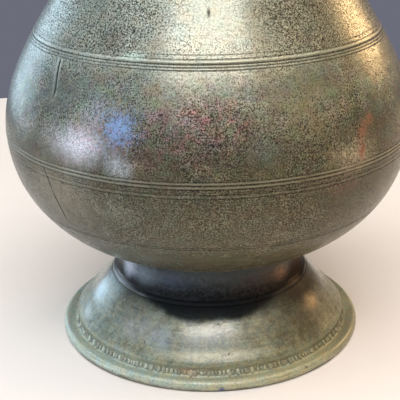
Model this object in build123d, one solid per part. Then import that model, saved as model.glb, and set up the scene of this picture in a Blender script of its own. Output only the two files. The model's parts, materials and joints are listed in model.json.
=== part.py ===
from build123d import *
import os
from math import asin, cos, degrees, pi, sin

# A round bronze hu: a cast body on a separately cast foot, with a beast mask and a loose ring on each side.
# Sizes are in millimetres. Z is the vessel's axis, the foot stands on Z = 0 and the masks face +X and -X.

# Body: belly, shoulder, neck and mouth in one casting
overall_height = 372.0
belly_radius = 120.0
belly_height = 136.0            # height of the widest point
belly_underside = 49.5          # how far the belly keeps upright below its widest point
shoulder_rise = 52.6            # how far it keeps upright above it
neck_radius = 50.0
neck_height = 296.0             # height of the narrowest point
neck_fall = 54.2                # how far the neck keeps upright below its narrowest point
neck_rise = 34.0                # how far it keeps upright above it
mouth_radius = 61.0
mouth_flare_run = 7.0           # lean of the mouth's last stretch, outwards and upwards
mouth_flare_rise = 20.0
body_wall = 3.0
lip_height = 17.0               # raised band round the mouth
lip_thickness = 1.8
lip_rounding = 1.2

# Joint between the body and the foot
foot_height = 59.5              # height of the seat that the body stands on
seat_radius = 57.0              # outside of the stem at that seat
seat_run = 21.0                 # lean of the belly's underside as it leaves the seat
seat_rise = 5.3
stem_wall = 4.0
solder_thickness = 1.2
spigot_wall = 3.5
spigot_depth = 6.0

# Foot: rest, rim, rope band, dome, bead and stem
foot_radius = 94.0
rim_height = 6.3
rim_tuck = 1.5                  # how far the rim draws in at the ground
rim_crown = 2.5                 # how far its crown lies inside its edge
rim_width = 7.0
rim_dip = 0.9                   # how far the rim falls from its crown to the rope band
rest_width = 8.8
rope_width = 3.9                # rope band, across the foot and up the foot
rope_rise = 7.2
rope_bulge = 1.1
bead_step = 3.6                 # thin bead between the dome and the stem, out from the seat
bead_height = 38.7
bead_size = 1.1
dome_start_run = 4.0            # lean of the dome at its lower end
dome_start_rise = 9.6
dome_end_run = 4.2              # and at its upper end
dome_end_rise = 5.6
stem_root_run = 2.6             # lean of the stem as it leaves the bead
stem_root_rise = 5.0
stem_top_rise = 8.5             # upright stretch under the seat
foot_wall = 3.6

# Raised and cut lines round the body: offsets along the wall from the middle of their band, and depth or rise
upper_band_rise = 55.5          # middle of the shoulder band above the widest point
lower_band_drop = 4.0           # middle of the belly band below it
fine_line_drop = 41.0           # middle of the pair of fine lines on the underside
neck_band_rise = 9.0            # middle of the neck band above the narrowest point
upper_grooves = [(4.1, 0.35), (1.8, 0.45), (-0.8, 0.9), (-2.4, 0.5), (-4.0, 0.5)]
upper_ridges = [(0.5, 0.45), (-1.6, 0.35), (-3.2, 0.35)]
lower_grooves = [(4.5, 0.5), (2.5, 0.5), (0.4, 0.5), (-2.4, 0.5), (-4.65, 0.5)]
lower_ridges = [(3.5, 0.35), (1.45, 0.35), (-3.5, 0.35)]
fine_grooves = [(0.9, 0.25), (-0.9, 0.25)]
groove_tool_radius = 0.6
ridge_tool_radius = 1.0

# Masks, their rivets and their rings
mask_drop = 34.0                # middle of the mask below the neck's narrowest point
mask_width = 46.0
mask_height = 44.0
mask_thickness = 3.6
mask_seat_gap = 0.05            # film of solder between the mask and the wall
crest_dip_spread = 6.2          # outline of the mask, from its middle line and its middle
crest_dip_rise = 13.6
horn_tip_spread = 16.1
horn_tip_rise = 21.3
ear_rise = 12.1
temple_spread = 17.0
temple_rise = 1.8
cheek_spread = 16.1
cheek_drop = 9.9
eye_radius = 3.4
eye_spread = 9.0                # from the mask's middle line to an eye
eye_rise = 2.5                  # above the mask's middle
brow_radius = 1.6
brow_gap = 6.0                  # from an eye's middle to the top of the brow over it
brow_run = 6.0
horn_curl_radius = 3.2          # rolled horns
horn_curl_wire = 1.4
horn_spread = 16.0
horn_rise = 14.0
whisker_curl_radius = 2.3       # rolled whiskers
whisker_curl_wire = 1.1
whisker_spread = 12.5
whisker_drop = 8.0
nostril_radius = 2.4
nostril_inset = 0.9             # from the side of the nose to a nostril's middle
nostril_rise = 5.0              # above the loop's middle
nose_width = 6.0
nose_radius = 3.0
nose_rise = 9.0
loop_drop = 14.5                # loop's middle below the mask's middle
loop_reach = 10.5               # loop's middle out from the wall
loop_wall = 3.0
ring_radius = 19.0              # to the middle of its wire
ring_wire_radius = 2.6
ring_play = 1.2                 # loop's bore over the wire, in radius
ring_seat_gap = 0.6             # under the wire in the loop
ring_rest_gap = 0.35            # between the ring and the shoulder it lies on
rivet_radius = 2.2
rivet_spread = 19.0             # between a mask's two rivets, up its height
rivet_bite = 3.5                # depth into the mask
rivet_head_radius = 4.5
rivet_head_height = 1.8
rivet_clearance = 0.05          # round a rivet in its hole and under its head

# Core spacers: square plates cast into the floor
spacer_size = 9.0
spacer_circle_radius = 26.0
spacer_count = 4
spacer_turn = 45.0              # first plate's turn from the masks' side

# Working allowances
cut_margin = 3.0                # how far a cutting bar runs past what it cuts
seam_turn = 90.0                # turns the seam of each round piece to the back
halvings = 40                   # steps of each search for a place on a curve


def inset(points, depth):
    """Control points of a curve moved to its left by depth, leg by leg of its control polygon."""
    corners = [Vector(*point) for point in points]
    legs = [(end - start).normalized() for start, end in zip(corners, corners[1:])]
    left = [Vector(-leg.Y, leg.X) for leg in legs]
    before = [left[0]] + left
    after = left + [left[-1]]
    moved = []
    for corner, first, second in zip(corners, before, after):
        shift = (first + second) * (depth / (1 + first.dot(second)))
        moved.append((corner.X + shift.X, corner.Y + shift.Y))
    return moved


def place_on(curve, height, along=0.0):
    """Point and outward normal, as (radius, height), a way along from where a rising curve passes a height."""
    low, high = 0.0, curve.length
    for _ in range(halvings):
        middle = (low + high) / 2
        if curve.position_at(middle, PositionMode.LENGTH).Y < height:
            low = middle
        else:
            high = middle
    place = low + along
    heading = curve.tangent_at(place, PositionMode.LENGTH)
    return curve.position_at(place, PositionMode.LENGTH), Vector(heading.Y, -heading.X)


def lathe(face):
    """Solid turned about the vessel's axis from a face drawn as (radius, height), its seam away from the masks."""
    return Rot(0, 0, seam_turn) * revolve(Plane.XZ * face, Axis.Z)


# Outer curves of the body, drawn upwards as (radius, height)
belly_points = [
    (seat_radius, foot_height),
    (seat_radius + seat_run, foot_height + seat_rise),
    (belly_radius, belly_height - belly_underside),
    (belly_radius, belly_height),
]
shoulder_points = [
    (belly_radius, belly_height),
    (belly_radius, belly_height + shoulder_rise),
    (neck_radius, neck_height - neck_fall),
    (neck_radius, neck_height),
]
mouth_points = [
    (neck_radius, neck_height),
    (neck_radius, neck_height + neck_rise),
    (mouth_radius - mouth_flare_run, overall_height - mouth_flare_rise),
    (mouth_radius, overall_height),
]
belly = Bezier(*belly_points)
shoulder = Bezier(*shoulder_points)
mouth = Bezier(*mouth_points)
body_line = Wire([belly, shoulder, mouth])

stem_bore_radius = seat_radius - stem_wall
spigot_radius = stem_bore_radius - solder_thickness
spigot_bore_radius = spigot_radius - spigot_wall


def groove_cut(band_height, offset, depth):
    """Round-bottomed groove in the wall, for cutting from the body's section."""
    point, normal = place_on(body_line, band_height, offset)
    centre = point + normal * (groove_tool_radius - depth)
    return Pos(centre.X, centre.Y) * Circle(groove_tool_radius)


def ridge_bead(band_height, offset, rise):
    """Round-backed ridge on the wall, for adding to the body's section."""
    point, normal = place_on(body_line, band_height, offset)
    centre = point + normal * (rise - ridge_tool_radius)
    return Pos(centre.X, centre.Y) * Circle(ridge_tool_radius)


def body_section():
    """Half section of the body with its lines, from the spigot to the lip."""
    inner_belly = inset(belly_points, body_wall)
    inner_shoulder = inset(shoulder_points, body_wall)
    inner_rim = (mouth_radius - body_wall, overall_height)
    inner_mouth = inset(mouth_points, body_wall)[:-1] + [inner_rim]
    floor_radius, floor_height = inner_belly[0]
    underside = Polyline(
        (0, floor_height),
        (0, foot_height),
        (spigot_bore_radius, foot_height),
        (spigot_bore_radius, foot_height - spigot_depth),
        (spigot_radius, foot_height - spigot_depth),
        (spigot_radius, foot_height),
        (seat_radius, foot_height),
    )
    rim = Line((mouth_radius, overall_height), inner_rim)
    floor = Line((floor_radius, floor_height), (0, floor_height))
    inside = [Bezier(*inner_mouth), Bezier(*inner_shoulder), Bezier(*inner_belly)]
    section = make_face([underside, belly, shoulder, mouth, rim, *inside, floor])

    lip_foot, _ = place_on(mouth, overall_height - lip_height)
    section += make_face(Polyline(
        (lip_foot.X - body_wall / 2, lip_foot.Y),
        (lip_foot.X + lip_thickness, lip_foot.Y),
        (mouth_radius + lip_thickness, overall_height),
        (mouth_radius - body_wall / 2, overall_height),
        close=True,
    ))
    section = fillet(section.vertices().group_by(Axis.Y)[-1], lip_rounding)
    bands = [
        (neck_height + neck_band_rise, upper_grooves, upper_ridges),
        (belly_height + upper_band_rise, upper_grooves, upper_ridges),
        (belly_height - lower_band_drop, lower_grooves, lower_ridges),
        (belly_height - fine_line_drop, fine_grooves, []),
    ]
    for band_height, grooves, ridges in bands:
        section += [ridge_bead(band_height, offset, rise) for offset, rise in ridges]
        section -= [groove_cut(band_height, offset, depth) for offset, depth in grooves]
    return section


def shoulder_blank(growth):
    """The shoulder filled solid and grown by a thickness, without its lines."""
    skin = Bezier(*inset(shoulder_points, -growth))
    back = Polyline(skin @ 1, (0, (skin @ 1).Y), (0, (skin @ 0).Y), skin @ 0)
    return lathe(make_face([skin, back]))


def foot_section():
    """Half section of the hollow foot, from the ground to the seat."""
    rim_root = (foot_radius - rim_width, rim_height - rim_dip)
    rope_top = (rim_root[0] - rope_width, rim_root[1] + rope_rise)
    bead_radius = seat_radius + bead_step
    bead = (bead_radius, bead_height)
    dome_points = [
        rope_top,
        (rope_top[0] - dome_start_run, rope_top[1] + dome_start_rise),
        (bead_radius + dome_end_run, bead_height - dome_end_rise),
        bead,
    ]
    stem_points = [
        bead,
        (bead_radius - stem_root_run, bead_height + stem_root_rise),
        (seat_radius, foot_height - stem_top_rise),
        (seat_radius, foot_height),
    ]
    inner_dome = inset(dome_points, foot_wall)
    inner_stem = inset(stem_points, stem_wall)
    rim_edge = ThreePointArc(
        (foot_radius - rim_tuck, 0),
        (foot_radius, rim_height / 2),
        (foot_radius - rim_crown, rim_height),
    )
    rim_top = Line((foot_radius - rim_crown, rim_height), rim_root)
    across = Vector(*rope_top) - Vector(*rim_root)
    bulge = Vector(across.Y, -across.X).normalized() * rope_bulge
    rope_middle = Vector(*rim_root) + across / 2 + bulge
    rope = ThreePointArc(rim_root, (rope_middle.X, rope_middle.Y), rope_top)
    seat = Line((seat_radius, foot_height), inner_stem[-1])
    inner_bend = Line(inner_stem[0], inner_dome[-1])
    skirt = Polyline(inner_dome[0], (foot_radius - rest_width, 0), (foot_radius - rim_tuck, 0))
    outside = [rim_edge, rim_top, rope, Bezier(*dome_points), Bezier(*stem_points)]
    inside = [seat, Bezier(*inner_stem), inner_bend, Bezier(*inner_dome), skirt]
    section = make_face([*outside, *inside])
    return section + Pos(*bead) * Circle(bead_size)


# Places of the masks, rivets, loops and rings on the +X side
mask_level = neck_height - mask_drop
loop_level = mask_level - loop_drop
loop_root, loop_out = place_on(shoulder, loop_level)
loop_centre = loop_root + loop_out * loop_reach
loop_bore_radius = ring_wire_radius + ring_play
pivot = Vector(loop_centre.X, loop_centre.Y - ring_play + ring_seat_gap)


def ring_foot(lean):
    """Middle of the ring's wire at its far end, for a lean outwards from straight down."""
    reach = 2 * ring_radius
    return Vector(pivot.X + reach * sin(lean), pivot.Y - reach * cos(lean))


def resting_lean():
    """Lean at which the ring's far end lies on the shoulder."""
    low, high = 0.0, pi / 2
    for _ in range(halvings):
        middle = (low + high) / 2
        far_end = ring_foot(middle)
        wall, normal = place_on(shoulder, far_end.Y)
        if (far_end - wall).dot(normal) < ring_wire_radius + ring_rest_gap:
            low = middle
        else:
            high = middle
    return high


def upright(point):
    """A (radius, height) point as a point on the +X side."""
    return Vector(point.X, 0, point.Y)


def rivet_planes():
    """Planes on the wall, facing outwards, of the +X mask's two rivets."""
    planes = []
    for level in (mask_level - rivet_spread / 2, mask_level + rivet_spread / 2):
        wall, normal = place_on(shoulder, level)
        planes.append(Plane(upright(wall), x_dir=(0, 1, 0), z_dir=upright(normal)))
    return planes


def peg(radius, start, end):
    """Round bar along a plane's normal, from start to end."""
    return Pos(0, 0, (start + end) / 2) * Cylinder(radius, end - start)


def rivets():
    """The two rivets of the +X mask, each with its head inside the neck, shaped to the wall."""
    inside = shoulder_blank(-body_wall - rivet_clearance)
    head_end = -body_wall - rivet_head_height
    pins = []
    for plane in rivet_planes():
        head = inside & plane * peg(rivet_head_radius, head_end, 0)
        pins.append(head + plane * peg(rivet_radius, head_end, rivet_bite))
    return pins


def rivet_holes():
    """Bars that cut the two rivets' holes through the wall and into the +X mask."""
    hole_radius = rivet_radius + rivet_clearance
    hole = peg(hole_radius, -body_wall - cut_margin, rivet_bite + rivet_clearance)
    return [plane * hole for plane in rivet_planes()]


def mask_outline():
    """Front outline of the mask as (across, up): crest, horns, cheeks and chin."""
    crest = (0, mask_height / 2)
    dip = (crest_dip_spread, crest_dip_rise)
    horn = (horn_tip_spread, horn_tip_rise)
    ear = (mask_width / 2, ear_rise)
    temple = (temple_spread, temple_rise)
    cheek = (cheek_spread, -cheek_drop)
    chin = (0, -mask_height / 2)
    half = [crest, dip, horn, ear, temple, cheek, chin]
    other_half = [(-across, up) for across, up in reversed(half[1:-1])]
    return make_face(Spline(*half, *other_half, periodic=True))


def on_mask(across, up):
    """Plane on the mask's face, across from its middle line and up from its middle, facing outwards."""
    wall, normal = place_on(shoulder, mask_level + up)
    face = wall + normal * mask_thickness
    turn = degrees(asin(across / face.X))
    origin, sideways, outwards = [
        vector.rotate(Axis.Z, turn) for vector in (upright(face), Vector(0, 1, 0), upright(normal))
    ]
    return Plane(origin, x_dir=sideways, z_dir=outwards)


def curl(across, up, radius, wire):
    """Rolled horn or whisker: a ring of wire with a knob in its middle."""
    return [on_mask(across, up) * roll for roll in (Torus(radius, wire), Sphere(wire))]


def brow(side):
    """Arched brow over one eye."""
    inner_end = on_mask(side * (eye_spread - brow_run), eye_rise + eye_radius).origin
    arch = on_mask(side * eye_spread, eye_rise + brow_gap).origin
    outer_end = on_mask(side * (eye_spread + brow_run), eye_rise + eye_radius).origin
    path = ThreePointArc(inner_end, arch, outer_end)
    bar = sweep(Plane(path @ 0, z_dir=path % 0) * Circle(brow_radius), path)
    return [bar] + [Pos(*end) * Sphere(brow_radius) for end in (inner_end, outer_end)]


def nose():
    """Nose that runs out from between the brows and ends in the loop, with its nostrils."""
    wall, normal = place_on(shoulder, mask_level + nose_rise)
    root = wall + normal * mask_thickness
    loop = Pos(loop_centre.X, loop_centre.Y) * Circle(loop_bore_radius + loop_wall)
    bridge = make_hull((loop + Pos(root.X, root.Y) * Circle(nose_radius)).edges())
    tip = upright(loop_centre + Vector(0, nostril_rise))
    aside = Vector(0, nose_width / 2 - nostril_inset)
    nostrils = [Pos(*(tip + aside * side)) * Sphere(nostril_radius) for side in (-1, 1)]
    return [extrude(Plane.XZ * bridge, nose_width / 2, both=True), *nostrils]


def mask():
    """The +X mask: a plate that follows the wall, with eyes, brows, curls, and a nose with the loop."""
    stencil = Plane((0, 0, mask_level), x_dir=(0, 1, 0), z_dir=(1, 0, 0)) * mask_outline()
    plate = shoulder_blank(mask_thickness) & extrude(stencil, belly_radius)
    relief = nose()
    for side in (-1, 1):
        relief.append(on_mask(side * eye_spread, eye_rise) * Sphere(eye_radius))
        relief += brow(side)
        relief += curl(side * horn_spread, horn_rise, horn_curl_radius, horn_curl_wire)
        relief += curl(side * whisker_spread, -whisker_drop, whisker_curl_radius, whisker_curl_wire)
    bore_length = nose_width + 2 * cut_margin
    bore = Pos(*upright(loop_centre)) * Rot(90, 0, 0) * Cylinder(loop_bore_radius, bore_length)
    return plate + relief - shoulder_blank(mask_seat_gap) - bore - rivet_holes()


def ring():
    """The +X ring, lying on the shoulder."""
    lean = resting_lean()
    centre = upright((pivot + ring_foot(lean)) / 2)
    plane = Plane(centre, x_dir=(0, 1, 0), z_dir=(cos(lean), 0, sin(lean)))
    return plane * Torus(ring_radius, ring_wire_radius)


def spacers():
    """Square bars through the floor, where the plates that held the core are cast in."""
    bar = Pos(0, 0, foot_height) * Box(spacer_size, spacer_size, 2 * (body_wall + cut_margin))
    return [loc * bar for loc in PolarLocations(spacer_circle_radius, spacer_count, spacer_turn)]


def other_side(solid):
    """The same piece on the -X side."""
    return mirror(solid, about=Plane.YZ)


vessel = lathe(body_section())
right_pins = rivets()
left_pins = [other_side(pin) for pin in right_pins]
holes = rivet_holes()
holes += [other_side(hole) for hole in holes]
floor_plates = [vessel & bar for bar in spacers()]

foot = lathe(foot_section())
solder = lathe(make_face(Polyline(
    (spigot_radius, foot_height - spigot_depth),
    (stem_bore_radius, foot_height - spigot_depth),
    (stem_bore_radius, foot_height),
    (spigot_radius, foot_height),
    close=True,
)))
right_mask = mask()
right_ring = ring()

nodes = {
    "vessel_body": vessel - holes - spacers(),
    "foot": foot,
    "solder_ring": solder,
    "floor_spacers": Compound(children=floor_plates),
    "right_mask": right_mask,
    "right_ring": right_ring,
    "right_mask_rivets": Compound(children=right_pins),
    "left_mask": other_side(right_mask),
    "left_ring": other_side(right_ring),
    "left_mask_rivets": Compound(children=left_pins),
}

os.makedirs("parts", exist_ok=True)
for name, solid in nodes.items():
    export_step(solid, os.path.join("parts", name + ".step"))

print("hinge line of the right ring: X %.3f, Z %.3f" % (pivot.X, pivot.Y))
print("lean of the rings at rest: %.2f degrees" % degrees(resting_lean()))
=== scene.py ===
import bpy
import bmesh
import json
import math
import numpy as np
from mathutils import Euler, Matrix, Vector, noise


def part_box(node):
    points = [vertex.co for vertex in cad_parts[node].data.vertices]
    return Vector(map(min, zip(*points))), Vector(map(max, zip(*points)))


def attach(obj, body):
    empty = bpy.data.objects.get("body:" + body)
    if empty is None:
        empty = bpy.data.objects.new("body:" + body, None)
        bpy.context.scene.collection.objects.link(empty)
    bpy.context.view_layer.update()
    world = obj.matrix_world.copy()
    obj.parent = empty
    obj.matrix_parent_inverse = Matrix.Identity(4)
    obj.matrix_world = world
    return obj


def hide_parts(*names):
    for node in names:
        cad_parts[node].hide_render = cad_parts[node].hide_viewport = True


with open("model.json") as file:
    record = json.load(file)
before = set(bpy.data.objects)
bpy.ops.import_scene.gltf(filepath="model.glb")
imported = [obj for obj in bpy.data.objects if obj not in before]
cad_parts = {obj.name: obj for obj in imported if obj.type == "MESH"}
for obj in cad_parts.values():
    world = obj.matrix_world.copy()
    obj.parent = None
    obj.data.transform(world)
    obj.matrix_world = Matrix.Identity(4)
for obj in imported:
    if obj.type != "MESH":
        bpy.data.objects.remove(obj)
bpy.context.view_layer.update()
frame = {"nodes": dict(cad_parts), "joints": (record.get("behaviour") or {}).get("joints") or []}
mm = 0.001
weldDistance = 1e-6  # metres
scene = bpy.context.scene
print("frame loaded with", len(frame["nodes"]), "nodes")


# Node trees: a flow is a value that runs through a tree, and sums and products of flows become Math nodes

class Flow:
    def __init__(self, tree, socket):
        self.tree = tree
        self.socket = socket

    def __add__(self, other):
        return calc("ADD", self, other)

    def __sub__(self, other):
        return calc("SUBTRACT", self, other)

    def __rsub__(self, other):
        return calc("SUBTRACT", other, self)

    def __mul__(self, other):
        return calc("MULTIPLY", self, other)

    def __rtruediv__(self, other):
        return calc("DIVIDE", other, self)


def treeOf(*values):
    return next(value.tree for value in values if isinstance(value, Flow))


def feed(socket, value):  # a link from a flow, or a plain value; a colour gets its alpha here
    if isinstance(value, Flow):
        value.tree.links.new(value.socket, socket)
    else:
        socket.default_value = (*value, 1.0) if socket.type == "RGBA" else value


def addNode(tree, kind, inputs=(), **settings):
    node = tree.nodes.new(kind)
    for name, value in settings.items():
        setattr(node, name, value)
    for name, value in dict(inputs).items():
        feed(node.inputs[name], value)
    return node


def put(tree, kind, inputs=(), output=0, **settings):  # a new node's output as a flow
    return Flow(tree, addNode(tree, kind, inputs, **settings).outputs[output])


def calc(operation, *values, clamp=False):
    return put(treeOf(*values), "ShaderNodeMath", enumerate(values), operation=operation, use_clamp=clamp)


def wholeNumber(operation, *values):
    return put(treeOf(*values), "FunctionNodeIntegerMath", enumerate(values), operation=operation)


def vectorCalc(operation, first, second=None):
    inputs = {0: first}
    if second is not None:
        inputs["Scale" if operation == "SCALE" else 1] = second
    output = "Value" if operation in ("LENGTH", "DOT_PRODUCT") else 0
    return put(first.tree, "ShaderNodeVectorMath", inputs, output, operation=operation)


def splitXyz(vector):
    node = addNode(vector.tree, "ShaderNodeSeparateXYZ", {0: vector})
    return [Flow(vector.tree, output) for output in node.outputs]


def joinXyz(tree, x=0.0, y=0.0, z=0.0):
    return put(tree, "ShaderNodeCombineXYZ", {"X": x, "Y": y, "Z": z})


def noiseAt(place, scale, detail=2.0, rough=0.5, seed=0.0, output=0):
    inputs = {"Vector": place, "W": seed, "Scale": scale, "Detail": detail, "Roughness": rough}
    return put(place.tree, "ShaderNodeTexNoise", inputs, output, noise_dimensions="4D")


def ease(value, low, high):  # smooth step from 0 at low to 1 at high
    inputs = {"Value": value, "From Min": low, "From Max": high}
    return put(value.tree, "ShaderNodeMapRange", inputs, "Result", interpolation_type="SMOOTHSTEP")


def blendColour(share, first, second, mode="MIX"):
    inputs = {"Factor": share, "A": first, "B": second}
    tree = treeOf(share, first, second)
    return put(tree, "ShaderNodeMix", inputs, "Result", data_type="RGBA", blend_type=mode)


def newTree(name, kind, inputs, outputs):
    # an input is given as a kind of socket, or as the colour or number that it starts with
    tree = bpy.data.node_groups.new(name, kind)
    for label, value in inputs.items():
        socketKind = {str: value, tuple: "Color", float: "Float"}[type(value)]
        socket = tree.interface.new_socket(label, in_out="INPUT", socket_type="NodeSocket" + socketKind)
        if not isinstance(value, str):
            socket.default_value = (*value, 1.0) if isinstance(value, tuple) else value
    for label, socketKind in outputs.items():
        tree.interface.new_socket(label, in_out="OUTPUT", socket_type="NodeSocket" + socketKind)
    given = addNode(tree, "NodeGroupInput").outputs
    return tree, {socket.name: Flow(tree, socket) for socket in given}


# Shapes of the body and the foot in millimetres. They follow the solids, with the lines worn shallower
# and with a narrower rope channel under a soft roll.

bodyShape = dict(
    bellyRadius=120, bellyHeight=136, bellyUnderside=49.5, shoulderRise=52.6,
    neckRadius=50, neckHeight=296, neckFall=54.2, neckRise=34,
    mouthRadius=61, mouthHeight=372, mouthFlareRun=7, mouthFlareRise=20,
    wall=3, lipHeight=17, lipThickness=1.8, lipRounding=1.2, lipFootRounding=0.6, lipStep=3,
    seatHeight=59.5, seatRadius=57, seatRun=21, seatRise=5.3,
    spigotRadius=51.8, spigotWall=3.5, spigotDepth=6,
    coarseStep=3.2, fineStep=0.17, fineReach=1, innerStep=8,
    underGrime=0.6, innerGrime=0.35, floorGrime=0.5, floorShares=(0.66, 0.33, 0),
)
bandLines = [(4.1, -0.08, 0.24), (1.8, -0.1, 0.26), (0.5, 0.14, 0.6), (-0.8, -0.2, 0.36),
             (-1.6, 0.06, 0.35), (-2.4, -0.13, 0.28), (-3.2, 0.06, 0.35), (-4, -0.13, 0.28)]
bowstrings = dict(  # height of each band; its lines: offset, rise (a groove is negative), half width
    shoulder=(191.5, bandLines),
    belly=(132, [(4.5, -0.1, 0.26), (3.5, 0.14, 0.6), (2.5, -0.14, 0.28), (1.45, 0.14, 0.6),
                 (0.4, -0.14, 0.28), (-2.4, -0.1, 0.26), (-3.5, 0.05, 0.6), (-4.65, -0.13, 0.28)]),
    underside=(95, [(0.9, -0.1, 0.3), (-0.9, -0.12, 0.3)]),
    neck=(305, bandLines),
)
lineWear = dict(dirtDepth=0.16, rubHeight=0.14)  # so deep a line is full of dirt, so high a one is bare
footShape = dict(
    footRadius=94, rimHeight=6.3, rimTuck=1.5, rimCrown=2.5, rimWidth=7, rimDip=0.9, restWidth=8.8,
    ropeWidth=2.5, ropeRise=4.6, ropeDepth=0.45,
    ropeFloor=((0, 0, 0), (0.08, 1, 0), (0.4, 1, 0.62), (0.92, 1, 0.1)),  # shares of rise and depth, grime
    rollOut=1.3, rollRise=1, rollRounding=1.2,
    beadRadius=60.6, beadHeight=38.7,
    beadLines=((0, 0.42, 1), (-1.5, -0.12, 0.4), (1.5, -0.12, 0.4)),  # as the body's lines
    domeStartRun=6, domeStartRise=6.2, domeEndRun=5.6, domeEndRise=5.4,
    stemRootRun=2.6, stemRootRise=5, stemTopRise=8.5, stemWall=4, footWall=3.6,
    coarseStep=2.2, fineStep=0.25, fineReach=1.4, innerStep=5, grime=0.6,
)


def bezierLine(corners, count=600):
    t = np.linspace(0, 1, count)[:, None]
    a, b, c, d = (np.array(corner, float) for corner in corners)
    return (1 - t) ** 3 * a + 3 * (1 - t) ** 2 * t * b + 3 * (1 - t) * t ** 2 * c + t ** 3 * d


def insetCorners(corners, depth):  # moves a control polygon to its left, leg by leg
    corners = np.array(corners, float)
    legs = np.diff(corners, axis=0)
    legs /= np.linalg.norm(legs, axis=1)[:, None]
    left = np.stack([-legs[:, 1], legs[:, 0]], axis=1)
    before = np.vstack([left[:1], left])
    after = np.vstack([left, left[-1:]])
    shift = (before + after) / (1 + (before * after).sum(axis=1))[:, None]
    return corners + shift * depth


def arcLine(start, middle, end, count):  # circle arc through three points
    (ax, ay), (bx, by), (cx, cy) = start, middle, end
    d = 2 * (ax * (by - cy) + bx * (cy - ay) + cx * (ay - by))
    ux = ((ax**2 + ay**2) * (by - cy) + (bx**2 + by**2) * (cy - ay) + (cx**2 + cy**2) * (ay - by)) / d
    uy = ((ax**2 + ay**2) * (cx - bx) + (bx**2 + by**2) * (ax - cx) + (cx**2 + cy**2) * (bx - ax)) / d
    radius = math.hypot(ax - ux, ay - uy)
    angles = np.unwrap([math.atan2(y - uy, x - ux) for x, y in (start, middle, end)])
    sweep = np.linspace(angles[0], angles[2], count)
    return np.stack([ux + radius * np.cos(sweep), uy + radius * np.sin(sweep)], axis=1)


def roundedCorner(before, corner, after, radius, count=6):  # a short curve in place of a corner
    corner = np.array(corner, float)
    legs = [np.array(end, float) - corner for end in (before, after)]
    start, end = (corner + leg / np.linalg.norm(leg) * radius for leg in legs)
    t = np.linspace(0, 1, count)[:, None]
    return (1 - t) ** 2 * start + 2 * (1 - t) * t * corner + t ** 2 * end


def lengthAlong(line):
    return np.concatenate([[0], np.cumsum(np.linalg.norm(np.diff(line, axis=0), axis=1))])


def pointsAt(stations, along, line):
    return np.stack([np.interp(stations, along, line[:, k]) for k in (0, 1)], axis=1)


def everyStep(line, step):  # thins a line to about one point a step, with its last point
    along = lengthAlong(line)
    return pointsAt(np.linspace(0, along[-1], max(2, int(along[-1] / step))), along, line)


def plainRows(line, cavity=0.0, outside=0.0):  # each row: radius, height, cavity, rise, outside
    blank = np.zeros(len(line))
    return np.column_stack([line, blank + cavity, blank, blank + outside])


def turnedRows(dense, marks, shape):
    # rows on the outside, close together at the marks and moved out or in there
    along = lengthAlong(dense)
    places = np.array([np.interp(height, dense[:, 1], along) + offset for height, offset, _, _ in marks])
    coarse = np.arange(0, along[-1], shape["coarseStep"])
    fine = np.arange(0, along[-1], shape["fineStep"])
    gap = lambda stations: np.abs(stations[:, None] - places[None]).min(axis=1)
    near = shape["fineReach"]
    stations = np.sort(np.concatenate([coarse[gap(coarse) > near], fine[gap(fine) <= near], [along[-1]]]))
    points = pointsAt(stations, along, dense)
    slope = pointsAt(stations, along, np.gradient(dense, along, axis=0))
    slope /= np.linalg.norm(slope, axis=1)[:, None]
    outward = np.stack([slope[:, 1], -slope[:, 0]], axis=1)
    lift, cavity, crest = np.zeros((3, len(stations)))
    for place, (_, _, rise, halfWidth) in zip(places, marks):
        bump = np.exp(-((stations - place) / halfWidth) ** 2)
        lift += rise * bump
        if rise < 0:
            cavity += bump * min(1.0, -rise / lineWear["dirtDepth"])
        else:
            crest += bump * min(1.0, rise / lineWear["rubHeight"])
    rows = plainRows(points + outward * lift[:, None], np.clip(cavity, 0, 1), 1.0)
    rows[:, 3] = np.clip(crest - cavity, 0, 1)
    return rows


def station(shape, name):  # a named place on the outline: radius and height
    return np.array((shape[name + "Radius"], shape[name + "Height"]))


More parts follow.
